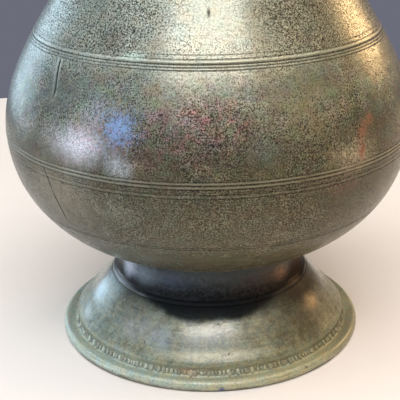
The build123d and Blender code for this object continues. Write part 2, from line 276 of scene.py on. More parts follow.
def bodyRows():
    s = bodyShape
    seat, widest, waist, brim = (station(s, name) for name in ("seat", "belly", "neck", "mouth"))
    belly = [seat, seat + (s["seatRun"], s["seatRise"]), widest - (0, s["bellyUnderside"]), widest]
    shoulder = [widest, widest + (0, s["shoulderRise"]), waist - (0, s["neckFall"]), waist]
    mouth = [waist, waist + (0, s["neckRise"]), brim - (s["mouthFlareRun"], s["mouthFlareRise"]), brim]
    mouthLine = bezierLine(mouth)
    lipFoot = s["mouthHeight"] - s["lipHeight"]
    neckLine = mouthLine[mouthLine[:, 1] < lipFoot]
    outer = np.vstack([bezierLine(belly), bezierLine(shoulder)[1:], neckLine[1:]])
    marks = [(middle, *line) for middle, lines in bowstrings.values() for line in lines]

    rimInner = brim - (s["wall"], 0)
    innerMouth, innerShoulder, innerBelly = (
        insetCorners(line, s["wall"]) for line in (mouth, shoulder, belly))
    innerMouth[-1] = rimInner
    inner = np.vstack([bezierLine(innerMouth)[::-1], bezierLine(innerShoulder)[::-1][1:],
                       bezierLine(innerBelly)[::-1][1:]])
    inner = everyStep(inner, s["innerStep"])
    floor = [(inner[-1][0] * share, innerBelly[0][1]) for share in s["floorShares"]]

    lipRoot = np.array((np.interp(lipFoot, mouthLine[:, 1], mouthLine[:, 0]), lipFoot))
    lipLow = lipRoot + (s["lipThickness"], 0)
    lipTop = brim + (s["lipThickness"], 0)
    lip = np.vstack([
        [lipRoot],
        roundedCorner(lipRoot, lipLow, lipTop, s["lipFootRounding"], 4),
        everyStep(np.array([lipLow, lipTop]), s["lipStep"])[1:-1],
        roundedCorner(lipLow, lipTop, rimInner, s["lipRounding"]),
        roundedCorner(lipTop, rimInner, inner[1], s["lipRounding"]),
    ])
    spigotBore = s["spigotRadius"] - s["spigotWall"]
    seatHeight = s["seatHeight"]
    spigotEnd = seatHeight - s["spigotDepth"]
    under = [(0, seatHeight), (spigotBore / 2, seatHeight), (spigotBore, seatHeight),
             (spigotBore, spigotEnd), (s["spigotRadius"], spigotEnd), (s["spigotRadius"], seatHeight)]
    return np.vstack([plainRows(under, s["underGrime"]), turnedRows(outer, marks, s), plainRows(lip),
                      plainRows(inner[1:], s["innerGrime"]), plainRows(floor, s["floorGrime"])])


def footRows():
    s = footShape
    bead = station(s, "bead")
    seat = station(bodyShape, "seat")
    rimRoot = np.array((s["footRadius"] - s["rimWidth"], s["rimHeight"] - s["rimDip"]))
    ropeTop = rimRoot + (-s["ropeWidth"], s["ropeRise"])
    rollEdge = ropeTop + (s["rollOut"], s["rollRise"])
    domeLean = rollEdge + (-s["domeStartRun"], s["domeStartRise"])
    roll = roundedCorner(ropeTop, rollEdge, domeLean, s["rollRounding"], 9)
    dome = [roll[-1], domeLean, bead + (s["domeEndRun"], -s["domeEndRise"]), bead]
    stem = [bead, bead + (-s["stemRootRun"], s["stemRootRise"]), seat - (0, s["stemTopRise"]), seat]
    restOuter = (s["footRadius"] - s["rimTuck"], 0.0)
    restInner = (s["footRadius"] - s["restWidth"], 0.0)
    rimCrown = (s["footRadius"] - s["rimCrown"], s["rimHeight"])
    rim = arcLine(restOuter, (s["footRadius"], s["rimHeight"] / 2), rimCrown, 14)
    rimTop = np.linspace(rim[-1], rimRoot, 5)[1:-1]
    sink = np.array((1.0, 0.5)) * s["ropeDepth"]
    ropeFloor = [rimRoot + (ropeTop - rimRoot) * share - sink * depth for share, depth, _ in s["ropeFloor"]]
    ropeGrime = [grime for _, _, grime in s["ropeFloor"]]
    upper = np.vstack([roll, bezierLine(dome)[1:], bezierLine(stem)[1:]])
    marks = [(s["beadHeight"], *line) for line in s["beadLines"]]
    innerDome = everyStep(bezierLine(insetCorners(dome, s["footWall"]))[::-1], s["innerStep"])
    innerStem = everyStep(bezierLine(insetCorners(stem, s["stemWall"]))[::-1], s["innerStep"])
    return np.vstack([
        plainRows([restInner, restOuter], s["grime"]), plainRows(np.vstack([rim[1:], rimTop]), outside=1.0),
        plainRows(ropeFloor, ropeGrime, 1.0), turnedRows(upper, marks, s),
        plainRows(np.vstack([innerStem, innerDome, [restInner]]), s["grime"]),
    ])


# Turned shells: a line of points swept round the axis by Geometry Nodes

columns = dict(count=248, seamTurns=(-47.8, 132.2), frontTurn=-90,
               seamOffsets=(-3, -2.1, -1.2, -0.5, 0, 0.5, 1.2, 2.1, 3), seamReach=3.4)
tear = dict(  # where the seam shows and how it leans by height, then how wide its crack and its lips are
    foot=(168 * mm, 172 * mm), head=(188.5 * mm, 186.5 * mm),
    line=(138 * mm, 134 * mm), end=(96 * mm, 106 * mm),
    lean=math.radians(4.9), leanFrom=134 * mm, leanOver=28 * mm,
    upperLean=math.radians(2.3), upperFrom=(188 * mm, 170 * mm), upperEnd=(140 * mm, 160 * mm),
    upperCrack=(0.62, 0.82), upperLips=(0.05, 0.3), lineCrack=(0.66, 0.92), lineLips=(0.4, 0.6),
    lineShare=0.5, crackDepth=0.6, breaks=(0.28, 0.46), breakFineness=6.0,
)


def mark(mesh, name, values):  # a number for each vertex
    layer = mesh.attributes.new(name, "FLOAT", "POINT")
    layer.data.foreach_set("value", np.array(values, np.float32))


def lineMesh(name, rows):
    mesh = bpy.data.meshes.new(name)
    edges = [(i, i + 1) for i in range(len(rows) - 1)]
    mesh.from_pydata([(r * mm, 0.0, z * mm) for r, z in rows[:, :2]], edges, [])
    for column, attribute in enumerate(("cavity", "rise", "outside"), start=2):
        mark(mesh, attribute, rows[:, column])
    return mesh


def columnObject():  # a vertex for each column of a shell, more at the seams
    c = columns
    degrees = lambda width: math.degrees(width / bodyShape["bellyRadius"])
    turns = [c["frontTurn"] + 360.0 * k / c["count"] for k in range(c["count"])]
    seams = [c["frontTurn"] + turn for turn in c["seamTurns"]]
    away = lambda turn: min(abs((turn - seam + 180.0) % 360.0 - 180.0) for seam in seams)
    kept = [(turn, 0.0) for turn in turns if away(turn) > degrees(c["seamReach"])]
    for seam in seams:
        for offset in c["seamOffsets"]:
            kept.append((seam + degrees(offset), 1.0 - abs(offset) / c["seamOffsets"][-1]))
    kept.sort(key=lambda pair: (pair[0] - c["frontTurn"]) % 360.0)
    mesh = bpy.data.meshes.new("columnTurns")
    mesh.from_pydata([(0, 0, 0)] * len(kept), [], [])
    mark(mesh, "turn", [math.radians(turn) for turn, _ in kept])
    mark(mesh, "seam", [nearness for _, nearness in kept])
    return bpy.data.objects.new("columnTurns", mesh)


def through(geometry, kind, inputs=(), output=0, **settings):  # the next node for a piece of geometry
    inputs = {"Geometry": geometry, **dict(inputs)}
    return put(geometry.tree, "GeometryNode" + kind, inputs, output, **settings)


def sampled(geometry, value, index, kind="FLOAT"):
    inputs = {"Value": value, "Index": index}
    return through(geometry, "SampleIndex", inputs, "Value", data_type=kind, domain="POINT")


def namedValue(tree, name):
    return put(tree, "GeometryNodeInputNamedAttribute", {"Name": name}, "Attribute", data_type="FLOAT")


def stored(geometry, name, value, domain="POINT"):
    inputs = {"Name": name, "Value": value}
    return through(geometry, "StoreNamedAttribute", inputs, data_type="FLOAT", domain=domain)


def pointCount(geometry):
    return through(geometry, "AttributeDomainSize", output="Point Count", component="MESH")


def finishTree(geometry, material):  # every tree ends as plain geometry with its material set
    painted = through(through(geometry, "RealizeInstances"), "SetMaterial", {"Material": material})
    addNode(geometry.tree, "NodeGroupOutput", {0: painted})
    return geometry.tree


def turnedShellTree():
    tree, given = newTree("turnedShell", "GeometryNodeTree", {
        "Line": "Geometry", "Columns": "Object", "Wobble": "Float", "Wobble Size": "Float",
        "Seam Height": "Float", "Seed": "Float", "Material": "Material"}, {"Shell": "Geometry"})
    line, seed = given["Line"], given["Seed"]
    turns = put(tree, "GeometryNodeObjectInfo", {"Object": given["Columns"]}, "Geometry")
    turnCount = pointCount(turns)
    closedCount = wholeNumber("ADD", turnCount, 1)
    shell = put(tree, "GeometryNodeMeshGrid", {"Vertices X": pointCount(line), "Vertices Y": closedCount})
    index = put(tree, "GeometryNodeInputIndex")
    row = wholeNumber("DIVIDE_FLOOR", index, closedCount)
    column = wholeNumber("MODULO", wholeNumber("MODULO", index, closedCount), turnCount)

    # each point's place on the turned shape, with the columns twisted so that the seam leans
    linePlace = sampled(line, put(tree, "GeometryNodeInputPosition"), row, "FLOAT_VECTOR")
    radius, _, level = splitXyz(linePlace)
    outside = sampled(line, namedValue(tree, "outside"), row)
    turn = sampled(turns, namedValue(tree, "turn"), column)
    below = calc("DIVIDE", tear["leanFrom"] - level, tear["leanOver"], clamp=True)
    turn = turn + calc("SQRT", below) * tear["lean"]
    turn = turn + ease(level, *tear["upperFrom"]) * ease(level, *tear["upperEnd"]) * tear["upperLean"]
    direction = joinXyz(tree, calc("COSINE", turn), calc("SINE", turn))
    base = vectorCalc("ADD", vectorCalc("SCALE", direction, radius), joinXyz(tree, z=level))

    # slow waviness of the casting, and the seam: a crack between raised lips, then a broken line lower down
    fineness = 1.0 / given["Wobble Size"]
    swing = (noiseAt(base, fineness, seed=seed) - 0.5) * given["Wobble"] * outside
    ragged = noiseAt(base, fineness * tear["breakFineness"], 2.0, 0.6, seed)
    shown = sampled(turns, namedValue(tree, "seam"), column) * outside
    upper = ease(level, *tear["foot"]) * ease(level, *tear["head"])
    lower = ease(level, *tear["line"]) * ease(level, *tear["end"]) * ease(ragged, *tear["breaks"])
    crack = upper * ease(shown, *tear["upperCrack"]) + lower * ease(shown, *tear["lineCrack"])
    lineLips = lower * (ease(shown, *tear["lineLips"]) * tear["lineShare"])
    lips = (upper * ease(shown, *tear["upperLips"]) + lineLips) * (1.0 - crack)
    ridge = (lips - crack * tear["crackDepth"]) * given["Seam Height"]
    lift = vectorCalc("SCALE", direction, swing + ridge)

    for name, extra in (("cavity", crack), ("rise", lips)):
        drawn = sampled(line, namedValue(tree, name), row)
        shell = stored(shell, name, calc("ADD", drawn, extra, clamp=True))
    shell = through(shell, "SetPosition", {"Position": vectorCalc("ADD", base, lift)})
    shell = through(through(shell, "MergeByDistance", {"Distance": weldDistance}), "SetShadeSmooth")
    return finishTree(shell, given["Material"])


def linked(name, data):
    piece = bpy.data.objects.new(name, data)
    scene.collection.objects.link(piece)
    return piece


def settled(piece):  # the piece's mesh with its modifiers worked in
    bpy.context.view_layer.update()
    return bpy.data.meshes.new_from_object(piece.evaluated_get(bpy.context.evaluated_depsgraph_get()))


def grow(name, mesh, tree, values):  # runs a tree on a mesh and keeps the result as a plain object
    seed = linked(name + ".seed", mesh)
    modifier = seed.modifiers.new("grow", "NODES")
    modifier.node_group = tree
    for item in tree.interface.items_tree:
        if item.in_out == "INPUT" and item.name in values:
            modifier[item.identifier] = values[item.name]
    result = settled(seed)
    bpy.data.objects.remove(seed)
    result.name = name
    return linked(name, result)


def faceOutwards(piece):
    work = bmesh.new()
    work.from_mesh(piece.data)
    bmesh.ops.recalc_face_normals(work, faces=work.faces)
    work.to_mesh(piece.data)
    work.free()


# Finishes: one shared group for the layers of patina, and a group for a patch at one place

patina = dict(
    clouds=dict(  # noises by blotch size: fineness, detail, roughness, step of the seed
        blotch=(1.0, 4.0, 0.55, 0.0), mottle=(6.0, 5.0, 0.62, 0.0), thick=(1.7, 3.0, 0.55, 11.0),
        hue=(5.0, 4.0, 0.6, 21.0)),
    shades=(7.0, 3.0, 0.55, 31.0),
    specks=dict(grain=(1.0, 2.0, 0.65, 0.0), pits=(0.25, 2.0, 0.5, 7.0)),  # by speckle size
    streakStretch=(0.035, 0.035, 1.3),
    film=(0.38, 0.62), hue=(0.36, 0.64), thick=(0.36, 0.62), pale=(0.5, 0.6), dark=(0.5, 0.41),
    pits=(0.25, 0.32), filled=(0.18, 0.48), rubbed=(0.25, 0.5),  # edges on the noises above
    thinShare=0.65, pitShare=0.75, rubShare=0.6, streakShade=2.0, glossLoss=0.9,
    rough=dict(pale=0.12, dark=0.4, filled=0.3, rubbed=0.06, mottle=0.2),
    height=dict(specks=0.22, mottle=0.6, pits=0.5, streaks=1.2),
)
patchEdge = dict(fineness=0.35, core=0.1, least=0.35, spread=0.3, softness=0.12)


def patinaGroup():
    tree, given = newTree("castPatina", "ShaderNodeTree", {
        "Place": "Vector", "Ground": (0.09, 0.08, 0.05), "Film": (0.2, 0.2, 0.14),
        "Bloom": (0.36, 0.4, 0.33), "Dirt": (0.022, 0.019, 0.014), "Bare": (0.33, 0.32, 0.25),
        "Cool": (0.9, 1.03, 1.03), "Warm": (1.12, 0.97, 0.8), "Hue Range": 0.6, "Film Cover": 0.5,
        "Mottling": 0.45, "Pale Specks": 0.6, "Dark Specks": 0.6, "Speckle Size": 1.0, "Blotch Size": 40.0,
        "Contrast": 1.0, "Streak": 0.2, "Dullness": 0.21, "Cavity": 0.0, "Rise": 0.0, "Seed": 0.0,
    }, {"Colour": "Color", "Roughness": "Float", "Height": "Float", "Gloss": "Float"})
    p, place, seed = patina, given["Place"], given["Seed"]
    blotchScale = 1.0 / given["Blotch Size"]
    speckleScale = 1.0 / given["Speckle Size"]

    def layer(scale, values, output=0):
        fineness, detail, rough, step = values
        return noiseAt(place, scale * fineness, detail, rough, seed + step, output)

    blotch, mottle, thick, hue = (layer(blotchScale, values) for values in p["clouds"].values())
    grain, pits = (layer(speckleScale, values) for values in p["specks"].values())
    shades = layer(blotchScale, p["shades"], "Color")
    streaks = noiseAt(vectorCalc("MULTIPLY", place, p["streakStretch"]), 1.0, 3.0, 0.6, seed)

    # ground and film in clouds of varied colour
    cloud = blotch + (mottle - blotch) * given["Mottling"]
    film = ease(cloud + (given["Film Cover"] - 0.5), *p["film"])
    colour = blendColour(film, given["Ground"], given["Film"])
    tint = blendColour(ease(hue, *p["hue"]), given["Cool"], given["Warm"])
    colour = blendColour(1.0, colour, tint, "MULTIPLY")
    shades = vectorCalc("SCALE", vectorCalc("SUBTRACT", shades, (0.5, 0.5, 0.5)), given["Hue Range"])
    colour = blendColour(1.0, colour, vectorCalc("ADD", shades, (1.0, 1.0, 1.0)), "MULTIPLY")

    # fine pale and dark specks, pits and streaks, then dirt in the hollows and bare metal on the ridges
    dense = (ease(thick, *p["thick"]) * (1.0 - p["thinShare"]) + p["thinShare"]) * given["Contrast"]
    pale = ease(grain, *p["pale"]) * (dense * given["Pale Specks"])
    dark = ease(grain, *p["dark"]) * (dense * given["Dark Specks"])
    pitted = (1.0 - ease(pits, *p["pits"])) * given["Contrast"]
    band = (streaks - 0.5) * given["Streak"]
    filled = given["Cavity"] * ease(mottle, *p["filled"])
    rubbed = given["Rise"] * ease(mottle, *p["rubbed"])
    colour = blendColour(pale, colour, given["Bloom"])
    colour = blendColour(dark, colour, given["Dirt"])
    colour = blendColour(pitted * p["pitShare"], colour, given["Dirt"])
    colour = blendColour(1.0, colour, band * p["streakShade"] + 1.0, "MULTIPLY")
    colour = blendColour(filled, colour, given["Dirt"])
    colour = blendColour(rubbed * p["rubShare"], colour, given["Bare"])

    r, h = p["rough"], p["height"]
    rough = given["Dullness"] + pale * r["pale"] + dark * r["dark"] + filled * r["filled"]
    rough = rough - rubbed * r["rubbed"] + (mottle - 0.5) * r["mottle"]
    height = (pale - dark) * h["specks"] + mottle * h["mottle"] - pitted * h["pits"] + band * h["streaks"]
    hidden = calc("MAXIMUM", calc("MAXIMUM", dark, pitted), filled)
    gloss = 1.0 - calc("MINIMUM", hidden, 1.0) * p["glossLoss"]
    addNode(tree, "NodeGroupOutput", enumerate((colour, rough, height, gloss)))
    return tree


def patchGroup():
    tree, given = newTree("mineralAndPaintedLightPatch", "ShaderNodeTree", {
        "Place": "Vector", "Centre": "Vector", "Size": "Vector", "Ragged": 0.6, "Grain": 3.0,
        "Scatter": 0.5, "Haze": 0.2, "Seed": 0.0}, {"Mask": "Float"})
    e, place, haze = patchEdge, given["Place"], given["Haze"]
    offset = vectorCalc("SUBTRACT", place, given["Centre"])
    reach = vectorCalc("LENGTH", vectorCalc("DIVIDE", offset, given["Size"]))
    scale = 1.0 / given["Grain"]
    edge = noiseAt(place, scale * e["fineness"], 3.0, 0.6, given["Seed"])
    inside = 1.0 - ease(reach + (edge - 0.5) * given["Ragged"], e["core"], 1.0)
    level = given["Scatter"] * e["spread"] + e["least"]
    dots = noiseAt(place, scale, 3.0, 0.6, given["Seed"] + 3.0)
    dots = ease(dots, level - e["softness"], level + e["softness"])
    addNode(tree, "NodeGroupOutput", {0: inside * (haze + dots * (1.0 - haze))})
    return tree


patinaLayers = patinaGroup()
mineralAndPaintedLightPatch = patchGroup()
print("finish groups ready")


def onBelly(turn, height, radius):  # a place on the outside, turn in degrees from the front towards +X
    angle = math.radians(turn)
    return (radius * math.sin(angle), -radius * math.cos(angle), height)


def spot(turn, height, radius, size, colour, strength, grain, scatter, haze, gloss=None, mode="MIX"):
    return dict(centre=onBelly(turn, height, radius), size=size, colour=colour, strength=strength,
                inputs={"Grain": grain, "Scatter": scatter, "Haze": haze}, gloss=gloss, mode=mode)


# Mineral spots, painted highlights and painted reflections: turn, height and radius, size in mm, colour,
# strength, grain, scatter, haze and any gloss

bellyPatches = [
    spot(-22.3, 161, 115.5, (10.5, 8, 12), (0.22, 0.42, 0.78), 0.95, 2, 0.52, 0.34),  # blue
    spot(-28.5, 167, 112.5, (17, 14, 11), (0.33, 0.39, 0.47), 0.6, 1.5, 0.55, 0.3),
    spot(-22, 142, 119.8, (12, 8, 10), (0.45, 0.51, 0.56), 0.78, 1.6, 0.48, 0.5),
    spot(-34, 149, 118.6, (27, 22, 15), (0.56, 0.56, 0.64), 0.6, 1.5, 0.46, 0.62, 1),  # painted white highlight
    spot(-9, 156, 117, (44, 26, 24), (1.42, 0.9, 1.15), 1, 4, 0.6, 0.1, mode="MULTIPLY"),  # pink
    spot(5, 166, 114, (36, 22, 22), (1.46, 0.88, 1.06), 1, 4, 0.64, 0.06, mode="MULTIPLY"),
    spot(45.8, 157, 116.6, (5.5, 7, 5.5), (0.33, 0.115, 0.06), 0.9, 1.8, 0.5, 0.25),  # red
    spot(42.3, 152, 118, (6, 7, 6), (0.3, 0.095, 0.05), 0.95, 1.8, 0.45, 0.4),
    spot(41.8, 143, 119.6, (4, 5, 8.5), (0.3, 0.1, 0.05), 0.9, 1.8, 0.5, 0.25),
    spot(39, 141, 119.5, (22, 24, 14), (0.52, 0.4, 0.25), 0.8, 1.8, 0.55, 0.35),  # tan round the red
    spot(42, 104, 113, (60, 56, 34), (0.055, 0.044, 0.03), 0.32, 4, 0.3, 0.9),  # darker below
    spot(-39, 111, 116.5, (17, 15, 11), (0.07, 0.055, 0.038), 0.3, 3, 0.45, 0.6),
    spot(-30, 201, 94.5, (18, 16, 10), (0.03, 0.027, 0.02), 0.75, 1.3, 0.62, 0.08, 0.1),  # dark specks
    spot(14, 152, 119, (16, 12, 12), (0.17, 0.2, 0.17), 0.6, 2.2, 0.5, 0.25),  # grey-green
    spot(29, 157, 117, (20, 20, 12), (0.28, 0.205, 0.11), 0.55, 2.4, 0.5, 0.25),  # ochre
    spot(36, 128, 119.6, (20, 20, 11), (0.27, 0.11, 0.08), 0.6, 2, 0.72, 0),
    spot(24, 168, 112.5, (34, 28, 22), (0.29, 0.245, 0.13), 0.6, 1.8, 0.5, 0.3),
    spot(-22.8, 115, 117.2, (17, 12, 13), (0.19, 0.205, 0.16), 0.65, 1.6, 0.5, 0.4),
    spot(-44, 172, 110.5, (26, 26, 17), (0.04, 0.054, 0.05), 0.8, 1.4, 0.58, 0.35, 0.3),  # dark shoulder
    spot(-27, 213, 86, (34, 30, 26), (0.03, 0.036, 0.03), 0.82, 1.3, 0.72, 0, 0.1),
    spot(33, 216, 84.5, (30, 30, 28), (0.04, 0.03, 0.014), 0.9, 1.3, 0.62, 0.1, 0.1),
    spot(22, 211, 88, (19, 22, 24), (0.04, 0.034, 0.018), 0.9, 1.2, 0.62, 0.12, 0.15),
    spot(-42, 121, 118.5, (40, 36, 26), (0.32, 0.295, 0.235), 0.52, 2, 0.4, 0.8),  # painted pale highlight below the band on the left
    spot(-22, 193.5, 98.9, (11, 7, 3.6), (0.46, 0.6, 0.54), 0.9, 1.5, 0.5, 0.25),  # verdigris on the band
    spot(-29, 198, 96.5, (10, 9, 8), (0.11, 0.07, 0.05), 0.6, 1.8, 0.5, 0.3),
    spot(-23.3, 204.5, 92, (1.7, 2.6, 2.1), (0.012, 0.01, 0.008), 1, 4, -0.6, 1, 0),  # casting flaws
    spot(0.7, 213, 85.6, (1.5, 3.2, 4), (0.03, 0.026, 0.018), 0.95, 4, -0.6, 1, 0.1),
    spot(-26, 156, 116.8, (32, 24, 19), (1.4, 0.92, 1.08), 0.85, 3.2, 0.6, 0.08, mode="MULTIPLY"),  # pink
    spot(-23, 160, 115.8, (21, 16, 20), (0.21, 0.36, 0.62), 0.8, 1.7, 0.64, 0),  # scattered blue
    # painted pale highlight left of the white one
    spot(-44, 150, 118.4, (13, 15, 14), (0.4, 0.4, 0.4), 0.45, 1.6, 0.45, 0.6),
    spot(41.7, 142, 119.7, (3.6, 4.4, 8.5), (0.26, 0.08, 0.042), 0.9, 1.5, 0.5, 0.3),  # red
    spot(43.2, 154.5, 117.4, (8, 9, 6.5), (0.36, 0.19, 0.1), 0.7, 1.4, 0.58, 0.1),
]
footPatches = [
    spot(3.8, 2, 93.5, (3, 3, 2.3), (0.03, 0.06, 0.2), 0.95, 4, -0.6, 1),  # blue on the rim
    spot(-8.8, 8, 85.6, (9, 7, 4), (0.38, 0.19, 0.09), 0.7, 2, 0.45, 0.3),  # rust in the rope
    spot(-22.3, 22, 77, (12, 12, 10), (0.27, 0.35, 0.46), 0.5, 2.6, 0.45, 0.5),
    spot(-36, 24, 74.5, (22, 20, 10), (0.4, 0.42, 0.44), 0.6, 1.8, 0.45, 0.4),
    spot(-2, 22.5, 76, (32, 12, 5.5), (0.1, 0.13, 0.14), 0.75, 2.4, 0.5, 0.25),
    spot(1, 27, 71.5, (26, 10, 4), (0.44, 0.43, 0.37), 0.5, 2.6, 0.3, 0.75),  # painted highlight on the front of the dome, then a pale cream streak lower down
    spot(3, 16, 82.5, (60, 18, 3.2), (0.56, 0.54, 0.4), 0.6, 2.6, 0.3, 0.5),
    spot(48, 21, 76.5, (36, 36, 14), (0.068, 0.05, 0.022), 0.8, 3, 0.4, 0.7, 0.4),  # brown right side
    spot(66, 5, 91, (46, 52, 9), (0.11, 0.09, 0.045), 0.52, 3, 0.3, 0.9),
    spot(62, 34, 64.5, (46, 46, 17), (0.022, 0.014, 0.006), 1, 4, 0.2, 0.9, 0.05),
    spot(-22, 51, 57.2, (20, 12, 8), (0.055, 0.085, 0.15), 0.7, 3.2, 0.45, 0.5),  # blue-grey stem
    # painted pale-blue reflection on the stem's left side, soft and then bright
    spot(-44, 50, 57.2, (18, 18, 9), (0.2, 0.27, 0.35), 0.7, 3.2, 0.4, 0.7),
    spot(-58, 51, 57, (10, 13, 11), (0.48, 0.56, 0.72), 0.85, 5, 0.1, 0.9),
    spot(-75, 29, 70, (9, 14, 10), (0.52, 0.65, 0.76), 0.66, 4, 0.2, 0.9),  # painted pale-blue reflections on the left edge of the dome
    spot(-71, 17, 80.6, (6, 11, 5), (0.5, 0.58, 0.6), 0.6, 4, 0.2, 0.9),
    spot(-58, 39.4, 60.6, (13, 16, 1.8), (0.27, 0.3, 0.34), 0.75, 3, 0.3, 0.8),  # painted highlight along the bead's left side
    spot(-68, 40, 60.5, (12, 17, 3), (0.34, 0.37, 0.42), 0.8, 3, 0.2, 0.8),
    spot(42, 50, 57, (24, 22, 11), (0.1, 0.05, 0.02), 0.8, 2, 0.45, 0.5),  # painted warm reflection on the stem's right side
    # dark on the right of the stem, without coat
    spot(67, 50, 57, (15, 17, 14), (0.05, 0.022, 0.007), 1, 4, -0.6, 1, 0),
    # painted orange highlight on the right of the dome
    spot(60.5, 27.5, 71, (9, 12, 6), (0.42, 0.26, 0.11), 0.75, 3, 0.35, 0.55),
    # blue-black over the front of the stem
    spot(-10, 50, 57, (66, 40, 13), (0.055, 0.066, 0.082), 0.75, 2, 0.6, 0),
    # brown on the stem
    spot(30, 47, 57.5, (36, 30, 13), (0.085, 0.05, 0.028), 0.7, 2.2, 0.62, 0),
    # painted warm highlight along the bead's right side
    spot(59, 40, 60.2, (10, 12, 2.6), (0.2, 0.12, 0.06), 0.7, 2.6, 0.3, 0.7),
    # painted orange reflection on the stem's right side
    spot(48, 49, 57.6, (10, 11, 7), (0.4, 0.2, 0.08), 0.62, 1.8, 0.5, 0.3),
]
bronze = dict(bumpDepth=0.3 * mm, wanderSize=24.0, sides=(12.0, 46.0), patchDullness=0.4)


def patchMask(place, patch, **more):
    inputs = {"Place": place, "Centre": patch["centre"], "Size": patch["size"], **more}
    return put(place.tree, "ShaderNodeGroup", inputs, "Mask", node_tree=mineralAndPaintedLightPatch)


def newMaterial(name):
    material = bpy.data.materials.new(name)
    material.use_nodes = True
    return material, put(material.node_tree, "ShaderNodeTexCoord", output="Object")


def dress(material, inputs):
    for key, value in inputs.items():
        feed(material.node_tree.nodes["Principled BSDF"].inputs[key], value)
    return material


def bronzeMaterial(name, look, patches=(), shaped=True):
    material, coordinates = newMaterial(name)
    tree = material.node_tree
    place = vectorCalc("SCALE", coordinates, 1.0 / mm)
    layers = addNode(tree, "ShaderNodeGroup", {"Place": place, **look["layers"]}, node_tree=patinaLayers)
    if shaped:  # the mesh carries its hollows and high points
        for key in ("Cavity", "Rise"):
            marked = put(tree, "ShaderNodeAttribute", output="Fac", attribute_name=key.lower())
            feed(layers.inputs[key], marked)
    colour, rough, height, gloss = (Flow(tree, output) for output in layers.outputs)
    across, _, upward = splitXyz(place)
    wander = noiseAt(place, 1.0 / bronze["wanderSize"], 4.0, 0.62, 4.0) - 0.5
    level = upward + wander * look.get("wander", 0.0)
    coat = look["coat"]
    for tone in look.get("tones", ()):  # a second tone that comes in with height, with a soft uneven edge
        aside = ease(calc("ABSOLUTE", across), *bronze["sides"]) * tone.get("sideRise", 0.0)
        reach = ease(level - aside, *tone["between"])
        if "until" in tone:  # and goes again
            reach = reach * ease(upward, *tone["until"])
        share = reach * tone.get("share", 1.0)
        colour = blendColour(share, colour, tone["colour"], tone.get("mode", "MULTIPLY"))
        rough = rough + reach * tone.get("dull", 0.0)
        if "coat" in tone:
            coat = reach * (tone["coat"] - look["coat"]) + coat
    if dull := look.get("dull"):  # duller below a height
        feed(layers.inputs["Dullness"], ease(level, *dull["between"]) * dull["more"] + dull["least"])
    if cover := look.get("cover"):  # more or less of the pale film with height
        film = ease(level, *cover["between"]) * (cover["most"] - cover["least"]) + cover["least"]
        if loss := cover.get("loss"):  # with less of it at the upper right
            film = film - ease(across, *loss["across"]) * ease(level, *loss["above"]) * loss["most"]
        feed(layers.inputs["Film Cover"], film)
    if hues := look.get("hues"):  # more varied colour at the middle heights
        around = ease(level, *hues["above"]) * ease(level, *hues["below"])
        feed(layers.inputs["Hue Range"], around * hues["more"] + hues["least"])
    if calm := look.get("calm"):  # fewer specks below a height and round one place
        contrast = ease(level, *calm["between"]) * (1.0 - calm["share"]) + calm["share"]
        contrast = contrast + ease(level, *calm["above"]) * calm["more"]
        less = 1.0 - patchMask(place, calm, Haze=1.0) * calm["less"]
        feed(layers.inputs["Contrast"], contrast * less)
    if patinaAndPaintedLampTint := look.get("patinaAndPaintedLampTint"):  # browner on the right, greyer on the left: partly patina, partly the painted colour of the cool lamps on the left and the warm ones on the right
        sideways = across + wander * patinaAndPaintedLampTint["wander"]
        share = ease(sideways, -patinaAndPaintedLampTint["reach"], patinaAndPaintedLampTint["reach"])
        tint = blendColour(share, patinaAndPaintedLampTint["left"], patinaAndPaintedLampTint["right"])
        colour = blendColour(1.0, colour, tint, "MULTIPLY")
    for number, patch in enumerate(patches):
        share = patchMask(place, patch, Seed=float(number), **patch["inputs"]) * patch["strength"]
        if patch["gloss"] is None:  # without a gloss of its own a spot lies between the dark specks like a thin deposit; with one it covers them like a thick one
            share = share * gloss
        else:
            dulled = share * (1.0 - patch["gloss"])
            coat = (1.0 - dulled) * coat
            rough = rough + dulled * bronze["patchDullness"]
        colour = blendColour(share, colour, patch["colour"], patch["mode"])
    bump = {"Strength": look["bump"], "Distance": bronze["bumpDepth"], "Height": height}
    return dress(material, {
        "Base Color": colour, "Roughness": rough, "Metallic": look["metallic"],
        "Specular IOR Level": look["specular"], "Coat Weight": calc("MULTIPLY", gloss, coat, clamp=True),
        "Coat Roughness": look["coatRoughness"], "Normal": put(tree, "ShaderNodeBump", bump, "Normal")})


bodyFinish = dict(
    metallic=0.22, specular=0.2, coat=1, coatRoughness=0.29, bump=0.3, wander=26,
    tones=[dict(between=(190, 180), colour=(0.82, 0.81, 0.82), coat=0.66),
           dict(between=(168, 138), colour=(0.7, 0.66, 0.59), coat=0.42),
           dict(between=(126, 108), colour=(1.26, 1.26, 1.29))],
    cover=dict(between=(140, 200), least=0.4, most=0.66,
               loss=dict(across=(10, 80), above=(175, 200), most=0.36)),
    calm=dict(between=(118, 158), share=0.88, above=(184, 204), more=0.4,
              centre=onBelly(4, 208, 90), size=(46, 50, 50), less=0.7),
    hues=dict(above=(118, 140), below=(192, 172), least=0.2, more=0.95),
    patinaAndPaintedLampTint=dict(reach=90, wander=50, left=(0.91, 1.03, 1.1), right=(1.17, 1.08, 0.8)),
    layers={"Ground": (0.118, 0.106, 0.075), "Film": (0.225, 0.223, 0.183), "Bloom": (0.4, 0.43, 0.39),
            "Dirt": (0.014, 0.013, 0.01), "Bare": (0.42, 0.42, 0.36), "Cool": (0.93, 1.02, 1.03),
            "Warm": (1.09, 0.98, 0.87), "Mottling": 0.65, "Pale Specks": 0.54, "Dark Specks": 1,
            "Speckle Size": 0.8, "Blotch Size": 46, "Streak": 0.3})
